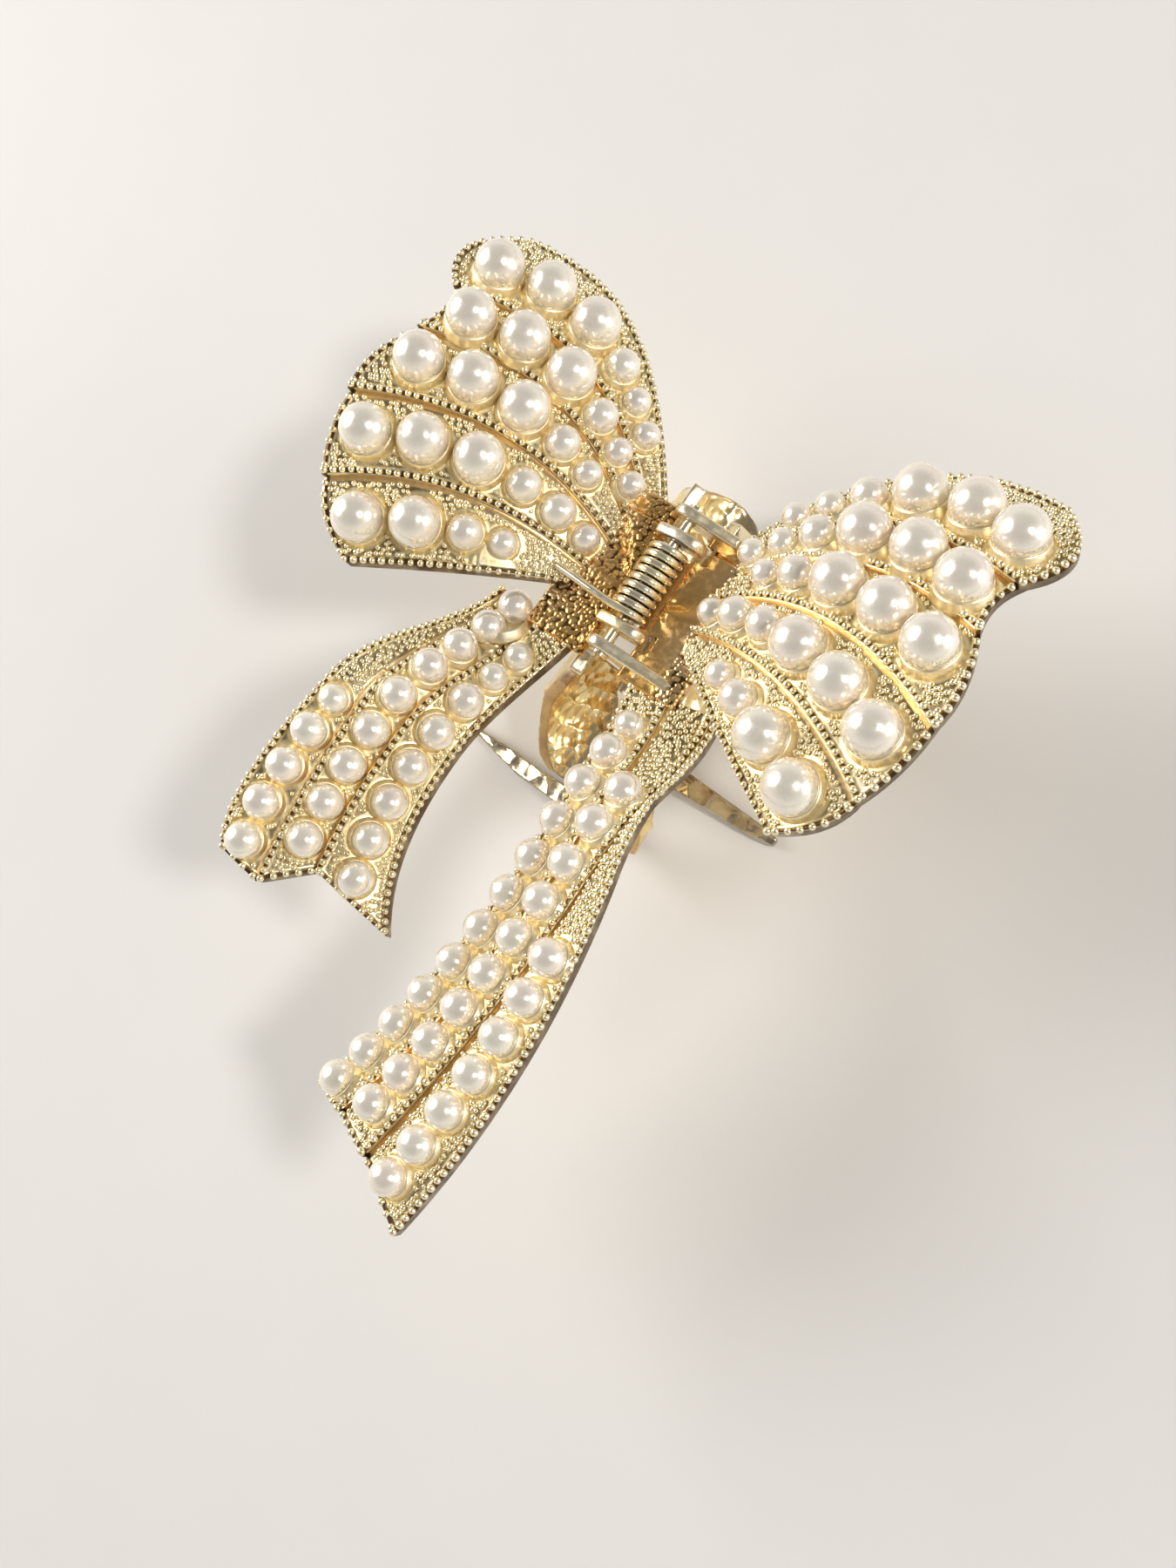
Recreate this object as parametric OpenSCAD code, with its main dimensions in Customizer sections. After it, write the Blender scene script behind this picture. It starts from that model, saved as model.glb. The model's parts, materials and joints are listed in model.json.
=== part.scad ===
// Bow claw clip: two sprung cast jaws that each carry one half of a pearl bow.
// The hinge pin runs along Y, the bow faces +Z and the clip stands on its finger tips at z = 0.

/* [Pearls] */
// Diameter of the large pearls towards the wing tips
large_pearl_d = 6.2; // [5:0.1:6.4]
// Diameter of the medium pearls on the wings and the tails
medium_pearl_d = 4.3; // [3:0.1:4.5]
// Diameter of the small pearls near the roots
small_pearl_d = 3.5; // [2.4:0.1:3.7]
// Space between neighbouring pearls of one row
pearl_gap = 0.62; // [0.5:0.02:1]
// Height of a pearl's centre above its plate, as a share of its radius
pearl_seat = 0.65; // [0.5:0.05:0.8]
// Glue between a pearl's flat back and the plate
glue_gap = 0.2; // [0.15:0.05:0.3]

/* [Wings] */
// Reach of a wing from the hinge line to its tip
wing_reach = 41; // [38:1:46]
// Height of a wing's surface beside the hinge
wing_root_z = -1; // [-1.4:0.1:-0.6]
// Radius of the wing's arch from root to tip
wing_arch_r = 58; // [52:1:70]
// Radius of the wing's arch along the hinge direction
wing_drape_r = 50; // [44:1:70]
// Height of the step where one pleat laps the next
pleat_step = 0.7; // [0.3:0.1:1]
// Thickness of the cast bow plates
plate_t = 1.6; // [1.3:0.1:2]

/* [Tails] */
// Distance from the hinge centre to the end of the left tail
left_tail_end = 52; // [45:1:55]
// Distance from the hinge centre to the tip of the right tail
right_tail_end = 72; // [65:1:78]
// Height of a tail's inner edge where it arches highest
tail_crest_z = 1.8; // [1:0.1:4]
// Distance from the hinge centre to the highest part of the tails
tail_crest_y = 30; // [28:1:36]

/* [Hinge] */
// Diameter of the hinge pin
pin_d = 1.4; // [1.2:0.1:1.8]
// Running clearance round the pin, on the radius
pin_fit = 0.04; // [0.02:0.01:0.08]
// Thickness of each hinge lug
lug_t = 1.5; // [1.2:0.1:1.8]
// Radius of the round end of a lug
lug_r = 1.9; // [1.7:0.1:2.1]
// Distance from the hinge centre to the middle of an inner lug
inner_lug_y = 6.3; // [6:0.1:7]
// Space between an inner lug and its outer neighbour
lug_gap = 1.5; // [0.8:0.1:1.8]

/* [Spring] */
// Diameter of the spring wire
wire_d = 1; // [0.8:0.1:1.1]
// Outside diameter of the spring's coil
coil_d = 5.1; // [4.7:0.1:5.2]
// Number of turns in the coil
coil_turns = 8.5; // [4.5:1:8.5]

/* [Jaws] */
// Thickness of the cast jaws
jaw_t = 1.8; // [1.4:0.1:2]
// Depth of the jaw's bend below the hinge line
jaw_depth = 27.6; // [26:0.2:30]
// Radius of the bend that turns the fingers inwards
bend_r = 7.8; // [7:0.1:8.5]
// Distance that a finger's tip crosses past the hinge line
tip_cross = 23.5; // [20:0.5:25]
// Depth of the finger tips below the hinge line
tip_depth = 31; // [30.5:0.1:33]
// Widest reach of the left jaw's near leaf along the hinge
near_leaf_y = 24.2; // [23.6:0.1:25]
// Widest reach of the left jaw's far leaf along the hinge
far_leaf_y = 20.6; // [20:0.1:22]
// Distance of the left jaw's two tips from the hinge centre
left_tip_y = 15.6; // [14.6:0.1:16]
// Width of a finger where it leaves the bend
finger_w = 3.3; // [2.6:0.1:3.6]
// Play between fingers that pass each other
finger_play = 0.5; // [0.4:0.1:0.8]

/* [Hidden] */
gold = [0.93, 0.80, 0.52];
pearl_white = [0.95, 0.92, 0.86];
solder_gap = 0.1;

// ---- wing shape, drawn for the +X side ----
// Fold lines from the near edge to the far edge: root point, then bend and tip
// as they lie on a wing that reaches 41
wing_k = wing_reach / 41;
fold_roots = [[9.3, -5.1], [7, -2.4], [6.8, 1.7], [6.5, 4.5], [6.8, 7], [5.7, 9.8]];
fold_bends = [[18.9, -11.5], [22.5, -0.7], [21.9, 9], [19.4, 16.6], [18.6, 23.2], [20, 33]] * wing_k;
fold_tips = [[30.6, -17.9], [37.4, -11], [40, -0.9], [38.2, 10.1], [38.4, 16.9], [37.3, 28.6]] * wing_k;
// How far each pleat's end bows out past its fold tips
pleat_bow = [1.2, 0.6, 1.1, -0.8, 3.6];
// Large, medium and small pearls on each pleat, from its tip inwards
wing_pearl_counts = [[2, 1, 1], [3, 2, 1], [3, 1, 1], [3, 1, 2], [3, 1, 2]];
// Distance from a pleat's end to its first pearl
wing_tip_margins = [4.6, 4.6, 5.6, 4.4, 5.5];
// Where the pearls stand across each pleat, and how far they drift to its near fold at the tip
wing_pearl_s = [0.5, 0.5, 0.5, 0.5, 0.45];
wing_pearl_drift = [0, 0, 0, 0.2, 0.32];
wing_root_x = 6;
wing_crest = [46.4, -0.4];
// How the wing's arch straightens towards its tip
wing_lift = 0.00028;
wing_lift_x = 25;
wing_crest_z = wing_root_z + pow(wing_crest[0] - wing_root_x, 2) / (2 * wing_arch_r);
wing_steps = 14;

// ---- hinge layout ----
outer_lug_y = inner_lug_y + lug_t + lug_gap;
hinge_half = outer_lug_y + lug_t / 2;
pin_head_r = 1.1;
pin_head_t = 0.3;
pin_end_play = 0.1;
flange_x = 2.3;
flange_reach = 10.4;
flange_top = -2.5;
flange_bottom = -4.7;
// Inner edge, reach and top of the root plate that lies on the flange, then its top at the far end
root_x = 2.8;
root_reach = 11;
root_top = -1;
root_far_top = -1.9;
// How far the lugs' round ends stand past the pin's axis, and how far their bars reach
inner_lug_past = 1.9;
outer_lug_past = 0.5;
inner_lug_reach = 2.9;
outer_lug_reach = 9.8;
far_lug_reach = 6.6;
lug_play = 0.25;

// ---- tail shape, drawn for the +X side ----
tail_root_y = -hinge_half - 0.25;
tail_roots = [tail_root_y, tail_root_y, tail_root_y + 0.8, tail_root_y + 0.8];
tail_root_z = -1.7;
// Fold lines from the inner edge to the outer edge: widest x, the y where it is
// widest, and how fast the line curves back towards the hinge plane
tail_folds = [[7.6, -34.4, 0.0052], [13, -35.2, 0.0052], [17.5, -34.2, 0.0032], [23.7, -51, 0.0042]];
tail_rise = [5, -0.66];
tail_droop = 0.0022;
// How far each fold line ends short of or past the tail's named end, then how far
// the tail's inner corner kicks out, and how far its outer edge draws in at the root and the end
left_tail_ends = [0.3, 2.2, -2.6, -1.6];
right_tail_ends = [1.6, 1.7, 0.5, -3.5];
left_tail_kick = 3.9;
right_tail_kick = 0;
left_tail_waist = 0;
right_tail_waist = 3.6;
left_tail_round = 2.4;
right_tail_round = 0;
tail_steps = 20;
// Distance from the end of each tail row to its first pearl
tail_tip_margins = [2.8, 4.85, 2.9];
left_tail_counts = [8, 9, 5];
right_tail_counts = [12, 10, 7];
left_tail_smalls = [2, 0, 1];
right_tail_smalls = [1, 0, 0];

// ---- jaw shape, drawn for the right jaw whose leg hangs on the +X side ----
leg_top = [3.2, -4.4];
palm_half = 13.2;
bend_centre = [2.3, -jaw_depth + bend_r];
finger_tip = [-tip_cross, -tip_depth + jaw_t / 2];
// Angles round the bend at which the leg and the finger run into it
leg_angle = run_in(leg_top, 1) + 90;
finger_angle = run_in(finger_tip, -1) - 90;
bend_steps = 16;
// Depth of the small flat that each finger tip rests on
tip_land = 0.2;
plan_top = bend_centre[1] - 2.5;

// Direction of the line from p that just touches the bend
function run_in(p, side) =
    let (d = bend_centre - p)
    atan2(d[1], d[0]) + side * asin(bend_r / norm(d));

function bezier(a, b, c, t) = a * pow(1 - t, 2) + b * (2 * t * (1 - t)) + c * (t * t);
function mix(a, b, t) = a * (1 - t) + b * t;
function unit(v) = v / norm(v);
function flip(p, side) = [p[0] * side, p[1], p[2]];

function wing_fold(i, t) = bezier(fold_roots[i], fold_bends[i], fold_tips[i], t);
function wing_z(p) =
    wing_crest_z - pow(p[0] - wing_crest[0], 2) / (2 * wing_arch_r)
    - pow(p[1] - wing_crest[1], 2) / (2 * wing_drape_r)
    + wing_lift * pow(p[0] - wing_lift_x, 3);
// Point on pleat k: t runs from root to tip, s from its near fold to its far fold
function wing_point(k, t, s) =
    let (
        a = wing_fold(k, t),
        b = wing_fold(k + 1, t),
        out = unit(wing_fold(k, 1) + wing_fold(k + 1, 1) - wing_fold(k, 0.6) - wing_fold(k + 1, 0.6)),
        p = mix(a, b, s) + out * (pleat_bow[k] * 4 * s * (1 - s) * pow(t, 3))
    )
    [p[0], p[1], wing_z(p) + pleat_step * (0.5 - s) * (0.3 + 0.7 * t)];

function wing_pearl_point(k, t) = wing_point(k, t, wing_pearl_s[k] - wing_pearl_drift[k] * pow(t, 6));

function tail_fold_x(i, y) = tail_folds[i][0] - tail_folds[i][2] * pow(y - tail_folds[i][1], 2);
function tail_top(s) = tail_crest_z + tail_rise[0] * s + tail_rise[1] * s * s;
function tail_z(s, y) =
    y > -tail_crest_y
        ? mix(tail_root_z, tail_top(s),
              (1 - cos(180 * (tail_root_y - y) / (tail_root_y + tail_crest_y))) / 2)
        : tail_top(s) - tail_droop * pow(y + tail_crest_y, 2);
// Point on tail strip k of a tail with the given fold ends
function tail_point(ends, k, t, s) =
    let (
        y = mix(mix(tail_roots[k], tail_roots[k + 1], s), mix(ends[k], ends[k + 1], s), t),
        kick = k == 0 ? ends[4] * (1 - s) * pow(t, 6) : 0,
        waist = k == 2 ? ends[5] * pow(1 - t, 2) + ends[6] * pow(t, 12) : 0,
        outer = max(tail_fold_x(k + 1, y) - waist, tail_fold_x(k, y) + 0.8),
        x = mix(tail_fold_x(k, y), outer, s) - kick
    )
    [x, y, tail_z(k + s, y) + pleat_step * (s - 0.5) * (0.2 + 0.5 * t)];
function left_ends() = concat([for (e = left_tail_ends) e - left_tail_end], [left_tail_kick, left_tail_waist, left_tail_round]);
function right_ends() = concat([for (e = right_tail_ends) e - right_tail_end], [right_tail_kick, right_tail_waist, right_tail_round]);

// Places a piece drawn round the hinge centre: finger tips on z = 0, outline centred in Y
module placed() {
    far = max([for (r = wing_rows(), p = r) p[1]]);
    near = min([for (r = tail_rows(right_ends()), p = r) p[1]]);
    translate([0, -(far + near) / 2, tip_depth - tip_land]) children();
}

// A closed sheet under a grid of surface points, one list of points per row
module sheet(rows) {
    n = len(rows);
    m = len(rows[0]);
    top = [for (r = rows, p = r) p];
    under = [for (p = top) p - [0, 0, plate_t]];
    function at(i, j) = i * m + j;
    function low(i, j) = n * m + i * m + j;
    skin = [
        for (i = [0 : n - 2], j = [0 : m - 2])
            each [[at(i, j), at(i, j + 1), at(i + 1, j + 1)], [at(i, j), at(i + 1, j + 1), at(i + 1, j)]]
    ];
    back = [for (f = skin) [f[2] + n * m, f[1] + n * m, f[0] + n * m]];
    ends = [
        for (i = [0 : n - 2], j = [0, m - 1])
            let (a = at(i, j), b = at(i + 1, j), c = low(i + 1, j), d = low(i, j))
            each (j == 0 ? [[a, b, c], [a, c, d]] : [[a, c, b], [a, d, c]])
    ];
    sides = [
        for (j = [0 : m - 2], i = [0, n - 1])
            let (a = at(i, j), b = at(i, j + 1), c = low(i, j + 1), d = low(i, j))
            each (i == 0 ? [[a, c, b], [a, d, c]] : [[a, b, c], [a, c, d]])
    ];
    polyhedron(points = concat(top, under), faces = concat(skin, back, ends, sides));
}

function wing_rows() = [
    for (k = [4 : -1 : 0], s = [1, 0.5, 0]) [for (i = [0 : wing_steps]) wing_point(k, i / wing_steps, s)]
];
function tail_rows(ends) = [
    for (k = [2 : -1 : 0], s = [1, 0.5, 0])
        [for (i = [0 : tail_steps]) tail_point(ends, k, i / tail_steps, s)]
];

// Slot in a bow plate for one lug's bar
module lug_slot(y, reach) {
    translate([-1, y - lug_t / 2 - solder_gap, -20])
        cube([reach + 1 + solder_gap, lug_t + 2 * solder_gap, 40]);
}

// Room that the other half's inner lugs sweep as the clip opens
module lug_sweep() {
    for (s = [-1, 1])
        translate([0, s * inner_lug_y, 0]) rotate([90, 0, 0])
            cylinder(r = inner_lug_past + lug_r + lug_play, h = lug_t + 2 * lug_play, center = true, $fn = 48);
}

// One bow plate for the +X side, cut clear of the flange below it
module bow_plate(ends) {
    difference() {
        union() {
            sheet(wing_rows());
            sheet(tail_rows(ends));
            translate([root_x, tail_root_y - 1, flange_top + solder_gap])
                cube([root_reach - root_x, 8 - tail_root_y, root_top - flange_top - solder_gap]);
            translate([root_x, 0, flange_top + solder_gap])
                cube([root_reach - root_x, hinge_half, root_far_top - flange_top - solder_gap]);
        }
        translate([-1, -hinge_half - solder_gap, -20])
            cube([flange_reach + 1 + solder_gap, 2 * (hinge_half + solder_gap), 20 + flange_top + solder_gap]);
    }
}

module left_bow_plate() {
    color(gold) placed() mirror([1, 0, 0]) difference() {
        bow_plate(left_ends());
        lug_slot(-inner_lug_y, inner_lug_reach);
        lug_slot(inner_lug_y, inner_lug_reach);
    }
}

module right_bow_plate() {
    color(gold) placed() difference() {
        bow_plate(right_ends());
        lug_slot(-outer_lug_y, outer_lug_reach);
        lug_slot(outer_lug_y, far_lug_reach);
        lug_sweep();
    }
}

// ---- pearls ----
// One flat-backed pearl at a surface point, standing on the surface normal n
module pearl(p, n, d, side) {
    r = d / 2;
    c = flip(p + n * (pearl_seat * r), side);
    m = flip(n, side);
    back = pearl_seat * r - glue_gap;
    translate(c)
        rotate([0, acos(m[2]), atan2(m[1], m[0])])
            difference() {
                sphere(r = r, $fn = 48);
                translate([0, 0, -back - r]) cylinder(r = r, h = r, $fn = 48);
            }
}

// Lengths along a line of points, as [length, t] pairs for lookup()
function run_table(pts) =
    let (n = len(pts) - 1)
    [for (i = 0, s = 0; i <= n; i = i + 1, s = s + (i <= n ? norm(pts[i] - pts[i - 1]) : 0)) [s, i / n]];

// Distances from the tip of a row of pearls with the given diameters
function pearl_runs(sizes, start) =
    [for (i = 0, s = start; i < len(sizes);
          i = i + 1, s = s + (i < len(sizes) ? (sizes[i - 1] + sizes[i]) / 2 + pearl_gap : 0)) s];

function wing_sizes(k) = concat(
    [for (i = [1 : 1 : wing_pearl_counts[k][0]]) large_pearl_d],
    [for (i = [1 : 1 : wing_pearl_counts[k][1]]) medium_pearl_d],
    [for (i = [1 : 1 : wing_pearl_counts[k][2]]) small_pearl_d]
);
function tail_sizes(count, smalls) =
    [for (i = [1 : count]) i > count - smalls ? small_pearl_d : medium_pearl_d];

module wing_pearls(k, side) {
    steps = 40;
    line = [for (i = [0 : steps]) wing_pearl_point(k, 1 - i / steps)];
    table = run_table(line);
    sizes = wing_sizes(k);
    runs = pearl_runs(sizes, wing_tip_margins[k]) * wing_k;
    e = 0.02;
    color(pearl_white) placed()
        for (i = [0 : len(sizes) - 1]) {
            t = 1 - lookup(runs[i], table);
            n = unit(cross(
                wing_point(k, t + e, 0.5) - wing_point(k, t - e, 0.5),
                wing_point(k, t, 0.6) - wing_point(k, t, 0.4)
            ));
            pearl(wing_pearl_point(k, t), n, sizes[i], side);
        }
}

module tail_pearls(ends, k, count, smalls, side) {
    steps = 60;
    line = [for (i = [0 : steps]) tail_point(ends, k, 1 - i / steps, 0.5)];
    table = run_table(line);
    sizes = tail_sizes(count, smalls);
    runs = pearl_runs(sizes, tail_tip_margins[k]);
    e = 0.02;
    color(pearl_white) placed()
        for (i = [0 : count - 1]) {
            t = 1 - lookup(runs[i], table);
            n = unit(cross(
                tail_point(ends, k, t + e, 0.5) - tail_point(ends, k, t - e, 0.5),
                tail_point(ends, k, t, 0.6) - tail_point(ends, k, t, 0.4)
            ));
            pearl(tail_point(ends, k, t, 0.5), n, sizes[i], side);
        }
}

module tail_row(ends, k, counts, smalls, side) { tail_pearls(ends, k, counts[k], smalls[k], side); }

module left_wing_pearls_1() { wing_pearls(0, -1); }
module left_wing_pearls_2() { wing_pearls(1, -1); }
module left_wing_pearls_3() { wing_pearls(2, -1); }
module left_wing_pearls_4() { wing_pearls(3, -1); }
module left_wing_pearls_5() { wing_pearls(4, -1); }
module right_wing_pearls_1() { wing_pearls(0, 1); }
module right_wing_pearls_2() { wing_pearls(1, 1); }
module right_wing_pearls_3() { wing_pearls(2, 1); }
module right_wing_pearls_4() { wing_pearls(3, 1); }
module right_wing_pearls_5() { wing_pearls(4, 1); }
module left_tail_pearls_inner() { tail_row(left_ends(), 0, left_tail_counts, left_tail_smalls, -1); }
module left_tail_pearls_middle() { tail_row(left_ends(), 1, left_tail_counts, left_tail_smalls, -1); }
module left_tail_pearls_outer() { tail_row(left_ends(), 2, left_tail_counts, left_tail_smalls, -1); }
module right_tail_pearls_inner() { tail_row(right_ends(), 0, right_tail_counts, right_tail_smalls, 1); }
module right_tail_pearls_middle() { tail_row(right_ends(), 1, right_tail_counts, right_tail_smalls, 1); }
module right_tail_pearls_outer() { tail_row(right_ends(), 2, right_tail_counts, right_tail_smalls, 1); }

// ---- hinge ----
module hinge_pin() {
    half = hinge_half + pin_end_play;
    color(gold) placed() rotate([90, 0, 0]) {
        cylinder(d = pin_d, h = 2 * half, center = true, $fn = 48);
        for (s = [-1, 1])
            translate([0, 0, s * (half + pin_head_t / 2)])
                cylinder(r = pin_head_r, h = pin_head_t, center = true, $fn = 48);
    }
}

// Helix points of the coil, then its straight legs at both ends
coil_r = (coil_d - wire_d) / 2;
coil_half = coil_turns * (wire_d + 0.1) / 2;
turn_sides = 14;
leg_run = 10.2;
leg_drop = 0.4;
function coil_path() =
    let (n = round(coil_turns * turn_sides))
    concat(
        [[-leg_run, 0.55 - coil_half, coil_r - leg_drop], [-2.2, -coil_half - 0.05, coil_r]],
        [for (i = [0 : n]) let (a = 90 - i * 360 / turn_sides)
            [coil_r * cos(a), -coil_half + 2 * coil_half * i / n, coil_r * sin(a)]]
    );

module wire(path, sides = 6) {
    n = len(path);
    rings = [
        for (i = [0 : n - 1])
            let (
                d = unit(path[min(i + 1, n - 1)] - path[max(i - 1, 0)]),
                u = unit(cross(d, [0.1, 1, 0.05])),
                v = cross(d, u)
            )
            for (j = [0 : sides - 1])
                path[i] + (u * cos(j * 360 / sides) + v * sin(j * 360 / sides)) * (wire_d / 2)
    ];
    polyhedron(
        points = rings,
        faces = concat(
            [[for (j = [0 : sides - 1]) j]],
            [for (i = [0 : n - 2], j = [0 : sides - 1])
                let (a = i * sides + j, b = i * sides + (j + 1) % sides)
                each [[a, a + sides, b], [b, a + sides, b + sides]]],
            [[for (j = [sides - 1 : -1 : 0]) (n - 1) * sides + j]]
        )
    );
}

module torsion_spring() {
    color(gold) placed() wire(coil_path());
}

// ---- jaws ----
// Section of a jaw across the hinge: leaning leg, round bend, then a straight finger
function jaw_line(off) =
    let (
        a0 = leg_angle,
        a1 = finger_angle,
        r = bend_r + off
    )
    concat(
        [leg_top + [cos(a0), sin(a0)] * off],
        [for (i = [0 : bend_steps])
            let (a = mix(a0, a1, i / bend_steps)) bend_centre + r * [cos(a), sin(a)]],
        [finger_tip + [cos(a1), sin(a1)] * off]
    );

module jaw_section() {
    outer = jaw_line(jaw_t / 2);
    inner = jaw_line(-jaw_t / 2);
    polygon(concat(outer, [for (i = [len(inner) - 1 : -1 : 0]) inner[i]]));
}

// Plate bent to the jaw's section, cut by a side outline and, below plan_top, by a plan outline
module bent_plate() {
    span = 70;
    intersection() {
        rotate([90, 0, 0]) linear_extrude(span, center = true) jaw_section();
        rotate([90, 0, 90]) linear_extrude(2 * span, center = true) children(0);
        union() {
            translate([0, 0, tip_land - tip_depth]) linear_extrude(tip_depth - tip_land + plan_top) children(1);
            translate([-span, -span, plan_top - 0.01]) cube([2 * span, 2 * span, 40]);
        }
    }
}

// Lug at y: a bar that reaches outwards over the flange, and a round end past the pin
module lug(y, reach, past, end_z) {
    translate([0, y + lug_t / 2, 0]) rotate([90, 0, 0]) linear_extrude(lug_t) union() {
        translate([-past, 0]) circle(r = lug_r, $fn = 48);
        polygon([[-past, lug_r], [0, lug_r], [reach, end_z], [reach, flange_top - 0.6],
                 [flange_x, flange_bottom], [0, -lug_r], [-past, -lug_r]]);
    }
}

module flange() {
    translate([flange_x, -hinge_half, flange_bottom])
        cube([flange_reach - flange_x, 2 * hinge_half, flange_top - flange_bottom]);
}

module pin_bore() {
    rotate([90, 0, 0]) cylinder(r = pin_d / 2 + pin_fit, h = 60, center = true, $fn = 48);
}

// Left jaw, drawn on the +X side and mirrored: two leaves that narrow to fingers
arch_half = 7.6;
arch_top = -14.5;
module left_side_outline() {
    n = near_leaf_y;
    f = far_leaf_y;
    difference() {
        polygon([
            [-palm_half, 0], [-palm_half, -6], [-14.4, -12], [-17, -18], [4.3 - n, -21.5],
            [2 - n, -23.4], [-n, -25.5], [-n, -40], [f, -40], [f, -25.5], [f - 0.8, -23.4],
            [f - 2.3, -20.5], [16.3, -16], [14.8, -10], [14.3, -6], [14.3, 0]
        ]);
        translate([0, arch_top - 40]) square([2 * arch_half, 80 - 10], center = true);
        hull() for (s = [-1, 1]) translate([s * (arch_half - 4), arch_top - 5]) circle(r = 4, $fn = 32);
    }
}

module leaf_plan(reach) {
    h = finger_w / 2;
    polygon([
        [20, -arch_half], [2, -arch_half], [-2, -12], [-6, h - left_tip_y], [3 - tip_cross, h - left_tip_y - 0.6],
        [-tip_cross - 0.6, 0.5 - left_tip_y], [-tip_cross - 1, -left_tip_y], [-tip_cross - 0.6, -0.5 - left_tip_y],
        [3 - tip_cross, 0.6 - h - left_tip_y], [-6, -h - left_tip_y], [-3.5, -h - left_tip_y - 0.9],
        [0, 4 - reach], [3, 1 - reach], [5.5, -reach], [8, -reach], [9.6, 1 - reach], [10.6, 3.4 - reach], [20, 3.4 - reach]
    ]);
}

module left_plan() {
    leaf_plan(near_leaf_y);
    mirror([0, 1]) leaf_plan(far_leaf_y);
    translate([3, -arch_half - 1]) square([20, 2 * arch_half + 2]);
}

module left_jaw() {
    color(gold) placed() mirror([1, 0, 0]) difference() {
        union() {
            bent_plate() {
                left_side_outline();
                left_plan();
            }
            flange();
            for (s = [-1, 1]) lug(s * inner_lug_y, inner_lug_reach, inner_lug_past, lug_r / 2);
        }
        pin_bore();
    }
}

// Right jaw: a middle finger, and a near finger that passes outside the left jaw's leaf
gap_top = -12;
mid_half = 12;
mid_finger = arch_half - finger_play;
outer_w = 2.9;
module right_side_outline() {
    n = near_leaf_y + finger_play;
    difference() {
        polygon([
            [-12, 0], [-12.6, -5], [-16.5, -8.5], [-22.5, -14.5], [-n - 1, -19.5], [-n - outer_w, -24],
            [-n - outer_w, -40], [mid_finger, -40], [mid_finger, -24], [mid_half - 0.5, -16],
            [mid_half + 0.6, -13], [mid_half + 0.6, -5], [12, 0]
        ]);
        polygon([
            [-mid_finger, -40], [-mid_finger, -24], [0.5 - mid_half, -16], [-mid_half - 0.6, gap_top - 1],
            [-mid_half - 2, gap_top], [-mid_half - 4, gap_top - 1], [4 - n, -17.5], [0.6 - n, -21.5],
            [-n, -25], [-n, -40]
        ]);
    }
}

module right_plan() {
    m = mid_finger;
    in = -near_leaf_y - finger_play;
    out = in - outer_w;
    tip = -tip_cross;
    polygon([
        [20, in], [20, out], [-3, out], [-12, out + 0.3], [-19, out + 1.5], [tip - 0.4, out + 2.5],
        [tip - 1, out + 3.2], [tip - 0.4, out + 3.9], [-19, in + 1.9], [-12, in + 1.2], [-3, in]
    ]);
    polygon([
        [20, m + 4], [9, m + 4], [7, m], [3, m - 1.5], [-4, finger_w / 2 + 0.6], [3 + tip, 1.1], [tip - 0.4, 0.6],
        [tip - 1, 0], [tip - 0.4, -0.6], [3 + tip, -1.1], [-4, -finger_w / 2 - 0.6], [3, 1.5 - m], [7, -m],
        [9, -m - 4], [9, in - 1], [20, in - 1]
    ]);
}

module right_jaw() {
    color(gold) placed() difference() {
        union() {
            bent_plate() {
                right_side_outline();
                right_plan();
            }
            flange();
            lug(-outer_lug_y, outer_lug_reach, outer_lug_past, -0.8);
            lug(outer_lug_y, far_lug_reach, outer_lug_past, -0.2);
        }
        pin_bore();
        lug_sweep();
    }
}

left_jaw();
right_jaw();
left_bow_plate();
right_bow_plate();
hinge_pin();
torsion_spring();
left_wing_pearls_1();
left_wing_pearls_2();
left_wing_pearls_3();
left_wing_pearls_4();
left_wing_pearls_5();
right_wing_pearls_1();
right_wing_pearls_2();
right_wing_pearls_3();
right_wing_pearls_4();
right_wing_pearls_5();
left_tail_pearls_inner();
left_tail_pearls_middle();
left_tail_pearls_outer();
right_tail_pearls_inner();
right_tail_pearls_middle();
right_tail_pearls_outer();
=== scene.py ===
# Pearl bow claw clip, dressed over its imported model. Lengths are in millimetres until a mesh is made.
import json
import math

import bmesh
import bpy
import numpy as np
from mathutils import Matrix, Vector, kdtree


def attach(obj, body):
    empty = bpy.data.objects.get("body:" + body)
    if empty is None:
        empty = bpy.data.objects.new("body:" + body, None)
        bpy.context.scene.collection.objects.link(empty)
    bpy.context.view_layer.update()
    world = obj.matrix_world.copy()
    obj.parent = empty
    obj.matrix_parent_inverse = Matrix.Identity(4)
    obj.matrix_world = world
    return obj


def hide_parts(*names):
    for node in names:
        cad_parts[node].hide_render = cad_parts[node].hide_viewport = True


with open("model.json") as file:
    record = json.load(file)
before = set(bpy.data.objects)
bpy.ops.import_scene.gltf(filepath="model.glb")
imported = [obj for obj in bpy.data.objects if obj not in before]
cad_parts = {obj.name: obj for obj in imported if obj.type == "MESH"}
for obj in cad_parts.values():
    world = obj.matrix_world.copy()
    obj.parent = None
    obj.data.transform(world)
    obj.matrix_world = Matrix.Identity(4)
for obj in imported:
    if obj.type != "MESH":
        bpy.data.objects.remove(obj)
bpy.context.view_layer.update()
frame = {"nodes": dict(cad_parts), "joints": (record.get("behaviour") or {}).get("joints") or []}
mm = 0.001
joint = next(j for j in frame["joints"] if j["name"] == "hinge")
hinge = np.array(joint["pos_m"]) / mm  # every shape below is drawn round the hinge centre
rng = np.random.default_rng(41)
print("frame loaded, hinge centre at", hinge.round(2))


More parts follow.
